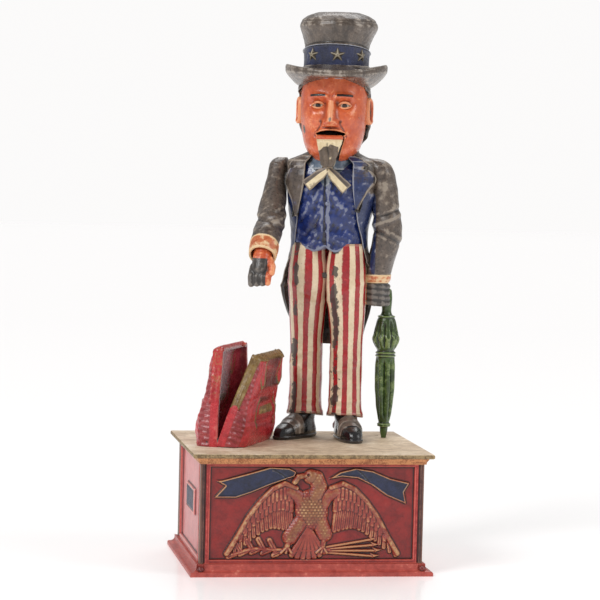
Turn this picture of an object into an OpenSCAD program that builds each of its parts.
// Mechanical coin bank of cast iron: a gentleman in a top hat stands on a box beside an open satchel.
// A knob behind the figure lowers the arm over the satchel, opens the satchel and wags the beard.
// Millimetres, +Z up, -Y front, origin under the middle of the base. The joints rest with the knob pressed.

/* [Box] */
// Width of the base plate
base_w = 125; // [123:0.5:127]
// Depth of the base plate
base_d = 108; // [106:0.5:110]
// Height of the base plate
base_h = 6; // [5.8:0.1:6.4]
// Width over the box walls
box_w = 115; // [114:0.5:116]
// Depth over the box walls
box_d = 98; // [97:0.5:99]
// Thickness of a wall without its pilasters
wall = 2.4; // [2.2:0.1:2.6]
// How far pilasters and relief stand out from a wall
raise = 1.6; // [1.2:0.1:1.8]
// Height of the top of the walls
wall_top = 57; // [56:0.5:58]
// Height of the stage that the figure stands on
stage_z = 62.4; // [62:0.1:63]

/* [Figure] */
// Where the figure stands, from left to right
figure_x = 17.5; // [17:0.1:18]
// Where the figure stands, from front to back
figure_y = 24; // [23.5:0.1:24.5]
// Turn of the figure toward the satchel
figure_turn = -22; // [-24:1:-20]
// Turn of the head back toward the front
head_turn = 7; // [4:1:10]
// Thickness of the figure's iron shell
shell = 2.6; // [2.2:0.1:3]
// Height of the shoulder axis
shoulder_z = 205.6; // [205:0.1:206]

/* [Satchel] */
// Corner of the hinge nearest the front, from left to right
bag_x = -46.5; // [-47:0.1:-46]
// Corner of the hinge nearest the front, from front to back
bag_y = -24.2; // [-24.6:0.1:-23.8]
// Length of the satchel at its bottom
bag_l = 56; // [55:0.5:57]
// Height of the satchel
bag_h = 51; // [49:0.5:52]
// Angle that the moving half stands open
bag_open = 19; // [15:1:20]

/* [Action] */
// Rock of the lever between its stops
lever_swing = 12; // [10:1:12]
// Swing of the coin arm
arm_swing = 45; // [38:1:46]
// Length of the crank that lifts the coin arm
crank_r = 5; // [4.6:0.1:5.2]
// Length of the crank that works the jaw
jaw_crank_r = 2.4; // [2.2:0.1:2.5]

/* [Hidden] */
$fn = 48;
far = 400;
gap = 0.3;
eye_play = 0.7;

// Box
plate_w = 124;
plate_d = 107;
slab_z = 60.1;
tie_x = 50;
tie_y = 41.5;
tie_r = 2;
post_r = 3.3;
trap_x = -14;
trap_y = -8;
trap_r = 19.2;
floor_z = 3.2;

// Figure
coat = [
    level(158, 0, 1, 21, 12.8, 2.6), level(166, 0, 0.8, 20.6, 12.6, 2.5), level(174, 0, 0.4, 20.7, 12.9, 2.5),
    level(184, 0, 0, 21.6, 13.6, 2.5), level(195, 0, 0, 22.8, 14.2, 2.5), level(203, 0, 0.5, 22.6, 13.6, 2.5),
    level(208, 0, 1, 20.5, 12.4, 2.4), level(212, 0.5, 1, 16, 11, 2.3), level(216, 1, 0.5, 11.5, 10.5, 2.2),
    level(222, 1.5, 0, 10.5, 10.5, 2)];
tails = [
    level(112, 0.5, 9, 19.5, 3.2, 3), level(120, -0.5, 9.2, 21.5, 3.6, 3), level(130, -1.5, 9, 24.5, 4.2, 3),
    level(141, -2, 8, 25.8, 5.6, 3), level(150, -1, 6.5, 24.5, 7.5, 3), level(160, 0, 4, 22.4, 9.6, 2.8),
    level(170, 0, 2, 20.6, 11.2, 2.6)];
hips = [
    level(137, 0, 0, 21.2, 10.6, 2.8), level(144, 0, 0, 21.6, 11.8, 2.6), level(152, 0, 0, 21.4, 12.2, 2.6),
    level(166, 0, 0, 20.2, 12.2, 2.5)];
leg = [
    level(76, 0, 0, 9, 9.2), level(92, 0, 0, 8.9, 9), level(110, 0, 0, 8.9, 9.2), level(124, 0, 0, 9.5, 10),
    level(139, 0, 0, 10.4, 10.9, 2.1)];
shoe = [
    level(stage_z, 0, -9.3, 5.9, 17.2, 2.6), level(64.6, 0, -9.3, 6.5, 17.5, 2.6),
    level(67.5, 0, -9, 6.4, 16.7, 2.5), level(70.5, 0, -6.5, 6.1, 13.3, 2.4), level(73.5, 0, -3.2, 5.9, 9.8, 2.2),
    level(77.5, 0, -0.5, 6.3, 7.4), level(80, 0, 0, 6.5, 7)];
head = [
    level(212.5, 0, -7, 6, 8, 2.2), level(216, 0, -4.5, 11.5, 13, 2.3), level(221, 0, -2, 15.2, 16.5, 2.4),
    level(228, 0, -1, 16.8, 18, 2.4), level(236, 0, -0.5, 17.6, 18.6, 2.4), level(243, 0, 0, 17.9, 18.6, 2.3),
    level(250, 0, 0, 17.5, 18.3, 2.2), level(260, 0.4, 0, 15.8, 17.2, 2.1)];
crown = [
    level(256, 0.5, 0, 16.2, 17.6), level(263, 0.6, 0, 16.3, 17.6), level(270, 0.9, 0, 16.6, 17.9),
    level(277, 1.3, 0, 18.9, 20.2), level(282, 1.6, 0, 20.4, 21.8), level(286, 1.6, 0, 18.4, 19.8),
    level(288.8, 1.5, 0, 13.5, 14.8), level(290, 1.5, 0, 6, 7)];
ear = [
    level(235.5, 0, 0, 0.8, 1.5), level(238, 0.4, 0, 1.9, 3.4), level(243, 0.8, 0.2, 2.2, 4),
    level(246.5, 0.4, 0.2, 1.2, 2)];
left_sleeve = [
    level(150.5, 25.8, 7.1, 6.6, 6.8), level(158, 28, 5.5, 7.2, 7.4), level(166, 30.2, 4.2, 7.4, 7.6),
    level(174, 31.8, 3.2, 7.5, 7.7), level(186, 30.6, 2.2, 7.3, 7.7), level(196, 29.4, 2, 7.2, 7.8),
    level(204, 28.2, 2, 6.9, 7.8), level(209, 26.5, 2, 6.3, 6.8), level(212, 23.5, 2, 4, 4.5)];
left_hand = [
    level(134.5, 24.3, 8.5, 3, 3), level(136.5, 24.3, 8.5, 6.3, 6.2), level(141, 24.4, 8.6, 7.6, 7.6),
    level(146, 24.7, 8.2, 7, 7), level(151, 25.6, 7.4, 6.8, 6.9)];
coin_arm = [
    [-26.4, -46.5, 143.4, -30, 3, 2.6, 2], [-26.4, -45.5, 146.5, -30, 5.4, 5, 2], [-26.5, -43.4, 151.5, -28, 6, 6, 2.2],
    [-26.8, -40, 157.5, -32, 5.6, 5.6, 2.2], [-27, -37.2, 162.2, -40, 5.6, 5.6, 2], [-27, -36.4, 163.6, -48, 7.2, 7.2, 2],
    [-27.4, -25, 172.2, -48, 7.6, 7.6, 2], [-28, -14, 182.6, -38, 7.5, 7.7, 2], [-28.6, -6, 192.5, -32, 6, 7.8, 2.2],
    [-28.8, 0, 201, -25, 4.8, 8, 2.4], [-28.8, 2.8, 207, -15, 4.2, 7.6, 2.4], [-28.8, 3.6, 210.8, -5, 3, 5.2, 2.2],
    [-28.8, 3.8, 212.2, 0, 1.2, 2.4, 2]];
left_leg = [11.2, 0];
right_leg = [-11, 1.5];
shaft_y = 3;
shaft_r = 1.75;
pin_r = 0.9;
wire_r = 0.8;
half = arm_swing / 2;
arm_rod_x = -11.5;
arm_rod_y = shaft_y - crank_r;
jaw_rod = [1.1, shaft_y + jaw_crank_r];
body_screw_z = [150, 185];
foot_screws_at = [[11, 4.6], [-10.4, 8]];
foot_screw_r = 1.5;

// Head and jaw, in the head's frame
head_at = [1.6, -1];
jaw_y = -5;
jaw_z = 221;
tail_y = 6.45;
jaw_swing = 2 * asin(jaw_crank_r * sin(half) / (tail_y - jaw_y));
jaw_half = 6.8;
jaw_top = 224;
jaw_bottom = 207.5;
jaw_pin_r = 1.2;

// Satchel, in its own frame: X across the hinge, Y along it
bag_turn = -25;
hinge_z = 65;
hinge_r = 1;
knuckle_r = 2.2;
bag_side = [
    [0, 0], [12.8, 0], [13, 8], [12.6, 15], [10.8, 21], [9.4, 26], [8.6, 32], [7.6, 39], [6.8, 45], [5.2, 49],
    [3, 51], [0, 51]];
bag_lean = 6;
bag_wall = 2.2;
bag_screw_y = [14, 42];
bag_screw_x = -10.4;
tail_x = [4, 8];

// Lever
lever_y = 8.3;
lever_z = 50;
lever_pin_r = 2;
lever_r = 4;
lever_x = [-22.5, 35];
knob_x = 30;
knob_y = 42;
stem_r = 1.8;
knob_r = 4.6;
umbrella_at = [50.2, 23.9];
spare_hole = [48.4, 34.7];
spring_x = 24;
spring_y = -8;
spring_z = [13, 42];

// A ring of a loft: centre, tilt of its plane about X, half sizes and squareness
function level(z, x, y, a, b, n = 2) = [x, y, z, 0, a, b, n];
function signed_pow(v, k) = sign(v) * pow(abs(v), k);
function ring(s, sides) = [
    for (i = [0 : sides - 1])
        let (t = 360 * i / sides, p = s[4] * signed_pow(cos(t), 2 / s[6]), q = s[5] * signed_pow(sin(t), 2 / s[6]))
        [s[0] + p, s[1] + q * cos(s[3]), s[2] + q * sin(s[3])]];
function inset(rows, t) = [for (s = rows) [s[0], s[1], s[2], s[3], s[4] - t, s[5] - t, s[6]]];
function skin_faces(rings, sides) = [
    for (j = [0 : rings - 2], i = [0 : sides - 1], k = [0, 1])
        let (a = j * sides + i, b = j * sides + (i + 1) % sides)
        k == 0 ? [a, a + sides, b + sides] : [a, b + sides, b]];

// Skins a list of rings into a closed solid
module loft(rows, sides = 32) {
    last = (len(rows) - 1) * sides;
    polyhedron(
        points = [for (s = rows, p = ring(s, sides)) p],
        faces = concat(
            [[for (i = [0 : sides - 1]) i]],
            [[for (i = [sides - 1 : -1 : 0]) last + i]],
            skin_faces(len(rows), sides)));
}

module x_rod(r, x0, x1, y, z) translate([x0, y, z]) rotate([0, 90, 0]) cylinder(r = r, h = x1 - x0);
module y_rod(r, y0, y1, x, z) translate([x, y0, z]) rotate([-90, 0, 0]) cylinder(r = r, h = y1 - y0);
module z_rod(r, z0, z1, at) translate([at[0], at[1], z0]) cylinder(r = r, h = z1 - z0);
module block(x, y, z) translate([x[0], y[0], z[0]]) cube([x[1] - x[0], y[1] - y[0], z[1] - z[0]]);
module four_corners(x, y) for (i = [-1, 1], j = [-1, 1]) translate([i * x, j * y, 0]) children();
module figure_frame() translate([figure_x, figure_y, 0]) rotate([0, 0, figure_turn]) children();
module head_in_figure() translate([head_at[0], head_at[1], 0]) rotate([0, 0, head_turn]) children();
module head_frame() figure_frame() head_in_figure() children();
module bag_frame() translate([bag_x, bag_y, 0]) rotate([0, 0, bag_turn]) children();

// A rectangular block whose edge follows an outline of [inset, height] points, with mitred corners
module moulded(w, d, outline) {
    intersection() {
        rotate([90, 0, 0]) linear_extrude(2 * far, center = true) moulded_outline(w / 2, outline);
        rotate([90, 0, 90]) linear_extrude(2 * far, center = true) moulded_outline(d / 2, outline);
    }
}
module moulded_outline(h, outline) {
    n = len(outline);
    polygon(concat(
        [for (p = outline) [h - p[0], p[1]]],
        [for (i = [n - 1 : -1 : 0]) [outline[i][0] - h, outline[i][1]]]));
}

// Box

module base_plate() color("firebrick") {
    cove = [for (t = [0 : 15 : 90]) [0.5 + 3 * sin(t), 2.2 + 2.4 * (1 - cos(t))]];
    difference() {
        union() {
            moulded(base_w, base_d, concat([[0, 0], [0, 1.6]], cove, [[3.5, base_h]]));
            difference() {
                block([-53.2, 53.2], [-44.6, 44.6], [base_h - 1, base_h + 2.2]);
                block([-51.4, 51.4], [-42.8, 42.8], [0, far]);
            }
            z_rod(2.6, base_h - 1, base_h + 3, [spring_x, spring_y]);
        }
        block([-base_w / 2 + 4, base_w / 2 - 4], [-base_d / 2 + 4, base_d / 2 - 4], [-1, floor_z]);
        z_rod(trap_r, -1, 4.8, [trap_x, trap_y]);
        z_rod(trap_r - 2, -1, far, [trap_x, trap_y]);
        translate([trap_x, trap_y, 0]) rotate([0, 0, 60])
            block([-trap_r - 1.5, trap_r + 1.5], [-6.5, 6.5], [3, far]);
        four_corners(tie_x, tie_y) z_rod(tie_r + 0.1, -1, far, [0, 0]);
        four_corners(base_w / 2 - 5.5, base_d / 2 - 2.8) {
            z_rod(1.05, -1, far, [0, 0]);
            z_rod(2.1, 3.2, far, [0, 0]);
        }
        x_rod(1, spring_x - 5, spring_x + 5, spring_y, base_h + 1.2);
    }
    four_corners(tie_x, tie_y) difference() {
        z_rod(post_r, base_h, base_h + 4, [0, 0]);
        z_rod(tie_r + 0.1, 0, far, [0, 0]);
    }
}

module coin_trap() color("dimgray") translate([trap_x, trap_y, 0]) {
    z_rod(trap_r - 0.4, floor_z + 0.1, 4.6, [0, 0]);
    z_rod(trap_r - 2.3, 4.5, 7.4, [0, 0]);
    intersection() {
        z_rod(trap_r + 0.7, 6.2, 7.4, [0, 0]);
        block([-far, far], [-5.6, 5.6], [6, 8]);
    }
    block([-12, 12], [-2, 2], [0.8, floor_z + 0.5]);
}

// A wall of the box in the plane y = 0, facing -Y, with pilasters at its ends
module panel(w, pilaster) {
    block([-w / 2, w / 2], [0, wall], [base_h, wall_top]);
    for (s = [-1, 1])
        block([s * w / 2 - (s + 1) / 2 * pilaster, s * w / 2 - (s - 1) / 2 * pilaster], [-raise, 0.1],
            [base_h, wall_top]);
    block([-w / 2, w / 2], [-raise, 0.1], [base_h, base_h + 2]);
    block([-w / 2, w / 2], [-raise, 0.1], [wall_top - 1.4, wall_top]);
}
module emboss(h) rotate([90, 0, 0]) translate([0, 0, -0.1]) linear_extrude(h + 0.1) children();

// A blank ribbon with a forked end, drawn for the left side
module ribbon() {
    polygon([
        [-9, 52.6], [-18.9, 54.6], [-31.7, 51.9], [-50, 49.8], [-46.6, 44.6], [-49.9, 39.4], [-34, 41],
        [-21.5, 46.9], [-12, 47.6]]);
}
// A spread wing in two steps, drawn for the left side
module wing(coverts = false) {
    tip = coverts ? 0.62 : 1;
    outer = [for (t = [0 : 18 : 90]) [-12.5 - 31 * tip * (1 - cos(t)), 12 + 34.5 * (1 - tip + tip * (1 - sin(t)))]];
    inner = [for (t = [72 : -18 : 0]) [-3 - 34 * tip * (1 - cos(t)), 24 + 14 * (1 - tip) - 10 * tip * sin(t)]];
    polygon(concat([[-3, 44]], outer, inner));
}

module front_panel() color("firebrick") {
    front = box_d / 2 - raise;
    translate([0, -front, 0]) {
        panel(box_w, 5);
        emboss(raise) {
            ribbon();
            mirror([1, 0]) ribbon();
        }
        translate([1, 0, 0]) {
            emboss(1.4) {
                wing();
                mirror([1, 0]) wing();
            }
            emboss(2.1) {
                wing(true);
                mirror([1, 0]) wing(true);
            }
            emboss(2.8) translate([0, 34]) circle(8.5);
            emboss(2.4) polygon([[-7, 40], [-3, 46], [-8.5, 47], [-4.5, 51.6], [3.5, 51], [7, 42], [7, 28], [-7, 28]]);
            emboss(2) polygon([[-6, 28], [6, 28], [3, 17], [-3, 9.6], [-11, 9.6], [-8, 18]]);
            emboss(1.6) for (s = [-1, 1]) translate([s * 9, 14]) circle(3.4);
            emboss(1.2) polygon([[-12, 12], [-24, 17], [-38, 16], [-42, 11], [-26, 8.6]]);
            emboss(1.2) polygon([[11, 16], [33, 19], [29, 14], [34, 10.5], [11, 12.5]]);
        }
    }
}

module back_panel() color("firebrick")
    translate([0, box_d / 2 - raise, 0]) rotate([0, 0, 180]) {
        panel(box_w, 5);
        emboss(1) translate([0, 31.5]) square([84, 30], center = true);
    }

module side_panel() translate([0, -box_w / 2 + raise, 0]) {
    depth = box_d - 2 * (raise + wall) - 0.2;
    panel(depth, 5);
    emboss(1) translate([0, 33]) square([34, 14], center = true);
}
module left_panel() color("indianred") rotate([0, 0, -90]) side_panel();
module right_panel() color("indianred") rotate([0, 0, 90]) side_panel();

module top_plate() color("tan") {
    cove = [for (t = [90 : -18 : 0]) [5 - 1.9 * (1 - sin(t)), wall_top + 0.4 + 2.7 * (1 - sin(t))]];
    difference() {
        union() {
            moulded(plate_w, plate_d, [[0.5, slab_z], [0, slab_z + 0.6], [0, stage_z - 0.6], [0.5, stage_z]]);
            difference() {
                moulded(plate_w, plate_d, [[3.6, wall_top], [3.4, wall_top + 1.2], [2.4, slab_z - 0.4],
                    [2.4, slab_z + 0.2]]);
                block([-52.8, 52.8], [-44, 44], [0, slab_z]);
            }
            four_corners(tie_x, tie_y) z_rod(post_r, 46, slab_z + 0.5, [0, 0]);
            for (x = [lever_x[0] - 4, lever_x[1] + 1]) lever_ear(x);
        }
        four_corners(tie_x, tie_y) z_rod(tie_r, 45, 57.5, [0, 0]);
        bag_frame() {
            block([-8, 8], [7, 49], [50, far]);
            block([2.5, 12.5], [48.8, 54.6], [50, far]);
            for (y = bag_screw_y) z_rod(1.55, 50, far, [bag_screw_x, y]);
        }
        figure_frame() {
            z_rod(2.4, 50, far, [arm_rod_x, arm_rod_y]);
            for (p = foot_screws_at) z_rod(foot_screw_r + 0.1, 50, far, p);
        }
        block([knob_x - stem_r - 0.5, knob_x + stem_r + 0.5], [35.4, 44.6], [50, far]);
        z_rod(1.45, 50, far, umbrella_at);
        z_rod(1.2, 50, far, spare_hole);
    }
}
module lever_ear(x) difference() {
    union() {
        block([x, x + 3], [lever_y - lever_r, lever_y + lever_r], [lever_z, slab_z + 0.5]);
        x_rod(lever_r, x, x + 3, lever_y, lever_z);
    }
    x_rod(lever_pin_r + 0.01, x - 1, x + 4, lever_y, lever_z);
}

module screw(r, z0, z1, head_r, head_h) {
    z_rod(r, z0 - 0.3, z1, [0, 0]);
    difference() {
        z_rod(head_r, z0 - head_h, z0, [0, 0]);
        block([-head_r, head_r], [-0.5, 0.5], [z0 - head_h - 1, z0 - head_h / 2]);
    }
}
module tie_screws() color("dimgray") four_corners(tie_x, tie_y) screw(tie_r - 0.05, floor_z, 57, 3.6, 2.2);
module plinth_rivets() color("maroon") four_corners(base_w / 2 - 5.5, base_d / 2 - 2.8) {
    z_rod(1, 0.6, 3.3, [0, 0]);
    rotate_extrude() polygon([[0, 3.2], [1.9, 3.2], [1.9, 3.8], [1.3, 4.7], [0, 5]]);
}

// Figure

// The hat's brim: a ring whose sides curl up and whose front and back dip
module brim(sides = 40) {
    points = [
        for (i = [0 : sides - 1]) let (t = 360 * i / sides, s = pow(cos(t), 2))
            for (p = [[14, 262.4], [19.5, 260.4 - 2.6 * s], [26, 257.6 + 3.6 * s], [26.8, 256.2 + 4.6 * s],
                [26, 255 + 3.6 * s], [21, 254.6 - 3 * s], [14, 254.4 - 6.6 * s]])
                [p[0] * cos(t), (p[0] + 1 + 2.2 * (p[0] - 14) / 13) * sin(t), p[1]]];
    n = 7;
    polyhedron(points = points, faces = [
        for (i = [0 : sides - 1], j = [0 : n - 1], k = [0, 1])
            let (a = i * n + j, b = i * n + (j + 1) % n, c = ((i + 1) % sides) * n + j,
                d = ((i + 1) % sides) * n + (j + 1) % n)
            k == 0 ? [a, c, d] : [a, d, b]]);
}

module figure_skin() {
    loft(coat, 36);
    loft(tails, 36);
    loft(hips, 36);
    translate([left_leg[0], left_leg[1], 0]) {
        loft(leg, 24);
        rotate([0, 0, 25]) loft(shoe, 28);
    }
    translate([right_leg[0], right_leg[1], 0]) {
        loft(leg, 24);
        rotate([0, 0, -21]) loft(shoe, 28);
    }
    loft(left_sleeve, 24);
    loft(left_hand, 24);
    head_in_figure() {
        loft(head, 36);
        loft(crown, 36);
        translate([0.5, 0, 0]) brim();
        for (s = [0, 1]) mirror([s, 0, 0]) translate([17.8, 1, 0]) loft(ear, 12);
    }
}

// The hollow inside the casting, open at the soles for the wire
module figure_hollow() {
    intersection() {
        union() {
            loft(inset(coat, shell), 28);
            loft(inset(hips, shell), 28);
            for (p = [left_leg, right_leg]) translate([p[0], p[1], 0]) loft(inset(leg, shell), 20);
            head_in_figure() loft(inset(crown, shell), 28);
            head_in_figure() intersection() {
                loft(inset(head, shell), 28);
                union() {
                    block([-far, far], [-2, far], [200, far]);
                    block([-far, far], [-far, far], [237, far]);
                }
            }
        }
        block([-far, far], [-far, far], [78, 287]);
    }
    head_in_figure() block([-8, 8], [-30, 9], [212, jaw_top + 2.8]);
}

// Half of the casting: side is -1 for the front and 1 for the back
module figure_half(side) {
    difference() {
        resize([0, 0, 0]) intersection() {
            union() {
                difference() {
                    figure_skin();
                    figure_hollow();
                }
                intersection() {
                    loft(concat(inset(hips, 1), inset([for (i = [1 : 6]) coat[i]], 1)), 28);
                    union() {
                        for (z = body_screw_z) block([-3.4, 3.4], [-far, far], [z - 3.4, z + 3.4]);
                        block([-6, -3.4], [0, far], [shoulder_z - 5, shoulder_z + 5]);
                    }
                }
            }
            block([-far, far], [side < 0 ? -far : 0, side < 0 ? 0 : far], [0, far]);
        }
        x_rod(shaft_r + 0.1, -far, 1, shaft_y, shoulder_z);
        z_rod(2.4, 0, 80, [arm_rod_x, arm_rod_y]);
        for (p = foot_screws_at) z_rod(foot_screw_r, 0, stage_z + 12, p);
        for (z = body_screw_z) {
            y_rod(1.5, -9, far, 0, z);
            y_rod(3, 9.5, far, 0, z);
        }
        head_in_figure() x_rod(jaw_pin_r, -13, 13, jaw_y, jaw_z);
    }
}
module figure_front() color("royalblue") figure_frame() figure_half(-1);
module figure_back() color("dimgray") figure_frame() difference() {
    figure_half(1);
    rotate([0, 0, -figure_turn]) translate([-figure_x, -figure_y, 0]) z_rod(2.8, 0, 143.6, umbrella_at);
}

module figure_screws() color("dimgray") figure_frame() for (z = body_screw_z)
    translate([0, 9.5, z]) rotate([90, 0, 0]) screw(1.45, 0, 18, 2.7, 2);
module foot_screws() color("dimgray") figure_frame() for (p = foot_screws_at)
    translate([p[0], p[1], 0]) screw(foot_screw_r - 0.05, slab_z, stage_z + 11, 3, 2);

module right_arm() color("slategray") figure_frame() difference() {
    resize([0, 0, 0]) loft(coin_arm, 32);
    x_rod(shaft_r + 0.02, -29.7, 0, shaft_y, shoulder_z);
}
module arm_shaft() color("silver") figure_frame() x_rod(shaft_r, -29.6, -0.6, shaft_y, shoulder_z);

// A crank on the coin arm's shaft with a pin at angle a above the front
module crank(r, a, x0, x1, pin_x) difference() {
    union() {
        translate([0, shaft_y, shoulder_z]) rotate([-a, 0, 0]) translate([0, -shaft_y, -shoulder_z]) {
            x_rod(3, x0, x1, shaft_y, shoulder_z);
            block([x0, x1], [shaft_y - r, shaft_y], [shoulder_z - 1.5, shoulder_z + 1.5]);
            x_rod(1.5, x0, x1, shaft_y - r, shoulder_z);
            x_rod(pin_r, pin_x[0], pin_x[1], shaft_y - r, shoulder_z);
        }
    }
    x_rod(shaft_r + 0.02, x0 - 1, x1 + 0.01, shaft_y, shoulder_z);
}
module arm_crank() color("silver") figure_frame() crank(crank_r, -half, -9.8, -7.6, [-13.4, -9.7]);
module jaw_crank() color("silver") figure_frame() crank(jaw_crank_r, 180 - half, -2.2, -0.6, [-0.7, 2.8]);

// A flat eye on the end of a wire, around a pin along X
module eye(x, y, z, w) difference() {
    x_rod(pin_r + eye_play + 1, x - w / 2, x + w / 2, y, z);
    x_rod(pin_r + eye_play, x - w, x + w, y, z);
}
module wire(z0, z1, at) z_rod(wire_r, z0 + pin_r + eye_play + 0.5, z1 - pin_r - eye_play - 0.5, at);

lever_arm = crank_r * sin(half) / sin(lever_swing / 2);
arm_link_z = [lever_z - lever_arm * sin(lever_swing / 2), shoulder_z - crank_r * sin(half)];
module arm_link() color("silver") figure_frame() {
    wire(arm_link_z[0], arm_link_z[1], [arm_rod_x, arm_rod_y]);
    eye(arm_rod_x, arm_rod_y, arm_link_z[1], 1.6);
    translate([arm_rod_x, arm_rod_y, 0]) rotate([0, 0, -figure_turn]) eye(0, 0, arm_link_z[0], 1.6);
}

jaw_link_z = [shoulder_z + jaw_crank_r * sin(half), jaw_z + jaw_crank_r * sin(half)];
module jaw_link() color("silver") figure_frame() {
    wire(jaw_link_z[0], jaw_link_z[1], jaw_rod);
    eye(jaw_rod[0], jaw_rod[1], jaw_link_z[0], 1.4);
    eye(jaw_rod[0], jaw_rod[1], jaw_link_z[1], 1.4);
}

module jaw() color("antiquewhite") head_frame() difference() {
    union() {
        translate([0, -18.8, 0]) rotate([90, 0, 0]) linear_extrude(4) polygon([
            [-jaw_half, jaw_top], [-jaw_half + 1, 216], [-3.4, jaw_bottom + 1], [-2.4, jaw_bottom],
            [2.4, jaw_bottom], [3.4, jaw_bottom + 1], [jaw_half - 1, 216], [jaw_half, jaw_top]]);
        block([-4, 4], [-19.2, jaw_y], [jaw_z - 3, jaw_z + 1.5]);
        x_rod(3, -4, 4, jaw_y, jaw_z);
        translate([0, jaw_y, jaw_z]) rotate([jaw_swing / 2, 0, 0]) {
            block([-3.6, -1.6], [0, tail_y - jaw_y], [-1.5, 1.5]);
            x_rod(1.5, -3.6, -1.6, tail_y - jaw_y, 0);
            x_rod(pin_r, -1.7, 2.2, tail_y - jaw_y, 0);
        }
    }
    x_rod(jaw_pin_r + 0.06, -5, 5, jaw_y, jaw_z);
}
module jaw_pin() color("silver") head_frame() x_rod(jaw_pin_r - 0.02, -12.8, 12.8, jaw_y, jaw_z);

module umbrella() color("olivedrab") translate([umbrella_at[0], umbrella_at[1], 0]) rotate_extrude() polygon([
    [0, 60.4], [1.4, 60.4], [1.4, stage_z], [2.1, stage_z], [2.1, 68.4], [3.6, 68.8], [3.6, 70], [2.9, 70.8],
    [4.9, 92.8], [4.7, 105.4], [5, 106.4], [5, 108.2], [4.2, 109.5], [5.6, 112], [7.2, 116.4], [6.4, 121.4],
    [4.6, 127.2], [3, 129], [2.65, 130], [2.65, 141.5], [1.8, 143], [0, 143.3]]);

// Satchel

// The outline of a half across the hinge, as far as t inside its skin
module bag_outline(t) polygon([for (p = bag_side) [max(0, p[0] - t) * (p[0] > 0 ? 1 : 0), min(p[1], bag_h - t)]]);

// A solid half on the +X side, shrunk by t, from height z0
module bag_solid(t, z0) translate([0, 0, stage_z]) intersection() {
    translate([0, bag_l, 0]) rotate([90, 0, 0]) linear_extrude(bag_l) bag_outline(t);
    rotate([90, 0, 90]) linear_extrude(20) polygon([
        [t, z0], [bag_l - t, z0], [bag_l - t, 16], [bag_l - bag_lean - t, bag_h], [bag_lean + t, bag_h], [t, 16]]);
}
// The frame bar around the mouth, from mid height over the top
module bag_bar() translate([0, 0, stage_z]) rotate([90, 0, 90]) linear_extrude(4.4) difference() {
    polygon([
        [-0.4, 24], [bag_lean - 1, bag_h + 0.6], [bag_l - bag_lean + 1, bag_h + 0.6], [bag_l + 0.4, 24],
        [bag_l - 4, 24], [bag_l - bag_lean - 3, bag_h - 3], [bag_lean + 3, bag_h - 3], [4, 24]]);
}
module bag_half() difference() {
    union() {
        bag_solid(0, 0);
        bag_bar();
    }
    translate([-0.1, 0, 0]) bag_solid(bag_wall, -1);
}
// Hinge eyes at each y, on webs that reach out to x
module knuckles(y_list, x) for (y = y_list) hull() {
    y_rod(knuckle_r, y, y + 2.3, 0, hinge_z);
    block([x - 1, x], [y, y + 2.3], [hinge_z - knuckle_r + 0.1, hinge_z + knuckle_r]);
}

module satchel_fixed_half() color("indianred") bag_frame() difference() {
    union() {
        mirror([1, 0, 0]) bag_half();
        mirror([1, 0, 0]) knuckles([0, bag_l - 2.3], 6);
        for (y = bag_screw_y) block([-12.4, -8.4], [y - 4, y + 4], [stage_z, stage_z + 4]);
    }
    block([-1, 1], [-1, bag_l + 1], [stage_z - 1, hinge_z - knuckle_r - 0.1]);
    for (y = [2.3, bag_l - 5.4]) block([-3, 3], [y, y + 3.1], [0, hinge_z + knuckle_r + 0.4]);
    y_rod(hinge_r + 0.01, -1, bag_l + 1, 0, hinge_z);
    for (y = bag_screw_y) z_rod(1.45, 50, stage_z + 3.6, [bag_screw_x, y]);
}

module satchel_moving_half() color("indianred") bag_frame() difference() {
    union() {
        translate([0, 0, hinge_z]) rotate([0, bag_open, 0]) translate([0.2, 0, -hinge_z]) bag_half();
        knuckles([2.6, bag_l - 4.9], 12);
        block(tail_x, [bag_l - 4.9, bag_l - 2.6], [hinge_z - 9.8, hinge_z]);
    }
    block([-far, far], [-1, bag_l - 5.1], [0, stage_z + 0.35]);
    block([-far, far], [bag_l - 2.4, bag_l + 1], [0, stage_z + 0.35]);
    block([9, far], [-1, bag_l + 1], [0, stage_z + 0.35]);
    for (y = [-0.5, bag_l - 2.6]) translate([0, y, hinge_z]) rotate([-90, 0, 0]) cylinder(r = 6.6, h = 3.1);
    y_rod(hinge_r + 0.06, -1, bag_l + 1, 0, hinge_z);
}
module satchel_hinge_pins() color("silver") bag_frame() for (y = [0.1, bag_l - 5.6])
    y_rod(hinge_r, y, y + 5.5, 0, hinge_z);
module satchel_screws() color("dimgray") bag_frame() for (y = bag_screw_y)
    translate([bag_screw_x, y, 0]) screw(1.4, slab_z, stage_z + 3.4, 2.8, 1.8);

// Lever

// A bar on the lever hub at x, reaching a point y behind its axis
module lever_bar(x, y) translate([x - 1.6, lever_y, lever_z]) rotate([-lever_swing / 2, 0, 0]) {
    block([0, 3.2], [min(0, y), max(0, y)], [-2, 2]);
    x_rod(2, 0, 3.2, y, 0);
}
module lever() color("gray") difference() {
    rest = lever_swing / 2;
    drop = sin(rest);
    bag_arm = 12.1;
    knob_arm = (knob_y - lever_y) / cos(rest);
    union() {
        x_rod(lever_r, lever_x[0], lever_x[1], lever_y, lever_z);
        lever_bar(knob_x, knob_arm);
        z_rod(stem_r, lever_z - knob_arm * drop, stage_z + 5, [knob_x, knob_y]);
        lever_bar(2.6, lever_arm);
        x_rod(1.2, 2, 8.6, rod_y, lever_z - lever_arm * drop);
        lever_bar(-19, bag_arm);
        z_rod(1.5, lever_z - bag_arm * drop, hinge_z - 10.7, [-19, lever_y + bag_arm]);
        lever_bar(spring_x, spring_y - lever_y);
    }
    x_rod(lever_pin_r + 0.06, -far, far, lever_y, lever_z);
    x_rod(1.1, spring_x - 5, spring_x + 5, spring_y, lever_z + (lever_y - spring_y) * drop);
}
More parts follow.
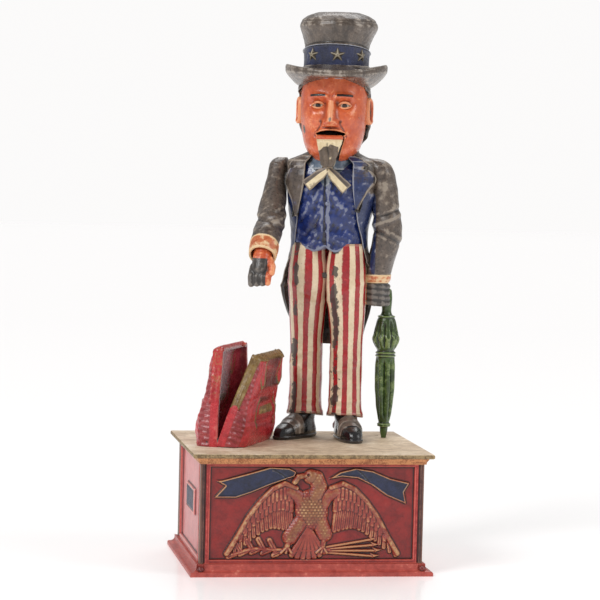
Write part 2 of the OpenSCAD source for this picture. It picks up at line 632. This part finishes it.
rod_y = figure_y + arm_rod_x * sin(figure_turn) + arm_rod_y * cos(figure_turn);
module lever_pin() color("silver") x_rod(lever_pin_r, lever_x[0] - 4.2, lever_x[1] + 4.2, lever_y, lever_z);
module lever_knob() color("maroon") translate([knob_x, knob_y, 0]) difference() {
    rotate_extrude() polygon([
        [0, stage_z + 0.35], [3, stage_z + 0.35], [3.2, 64.2], [knob_r, 66], [knob_r, 67.6], [3.4, 69.6], [0, 70.4]]);
    z_rod(stem_r + 0.02, 0, stage_z + 5.1, [0, 0]);
}

// A wound wire spring with straight ends, hooked between the base and the lever
module lever_spring() color("silver") {
    turns = 8;
    coil_r = 3;
    w = 0.55;
    steps = turns * 14;
    sides = 6;
    low = spring_z[0];
    high = spring_z[1];
    pts = concat(
        [[0, 0, base_h + 3.4], [0, 0, low - 1.4]],
        [for (i = [0 : steps]) let (t = 360 * turns * i / steps)
            [coil_r * cos(t), coil_r * sin(t), low + (high - low) * i / steps]],
        [[0, 0, high + 1.4], [0, 0, lever_z - 1.2]]);
    n = len(pts);
    dirs = [for (i = [0 : n - 1]) let (d = pts[min(i + 1, n - 1)] - pts[max(i - 1, 0)]) d / norm(d)];
    rings = [for (i = [0 : n - 1])
        let (e = cross(dirs[i], [0.3, 0.1, 1]), a = norm(e) < 0.05 ? [1, 0, 0] : e / norm(e), b = cross(dirs[i], a))
        for (k = [0 : sides - 1]) pts[i] + w * (cos(360 * k / sides) * a + sin(360 * k / sides) * b)];
    translate([spring_x, spring_y, 0]) polyhedron(points = rings, faces = concat(
        [[for (k = [0 : sides - 1]) k]],
        [[for (k = [sides - 1 : -1 : 0]) (n - 1) * sides + k]],
        skin_faces(n, sides)));
}

base_plate();
coin_trap();
front_panel();
back_panel();
left_panel();
right_panel();
top_plate();
tie_screws();
plinth_rivets();
figure_front();
figure_back();
figure_screws();
foot_screws();
right_arm();
arm_shaft();
arm_crank();
jaw_crank();
arm_link();
jaw();
jaw_pin();
jaw_link();
umbrella();
satchel_fixed_half();
satchel_moving_half();
satchel_hinge_pins();
satchel_screws();
lever();
lever_knob();
lever_pin();
lever_spring();
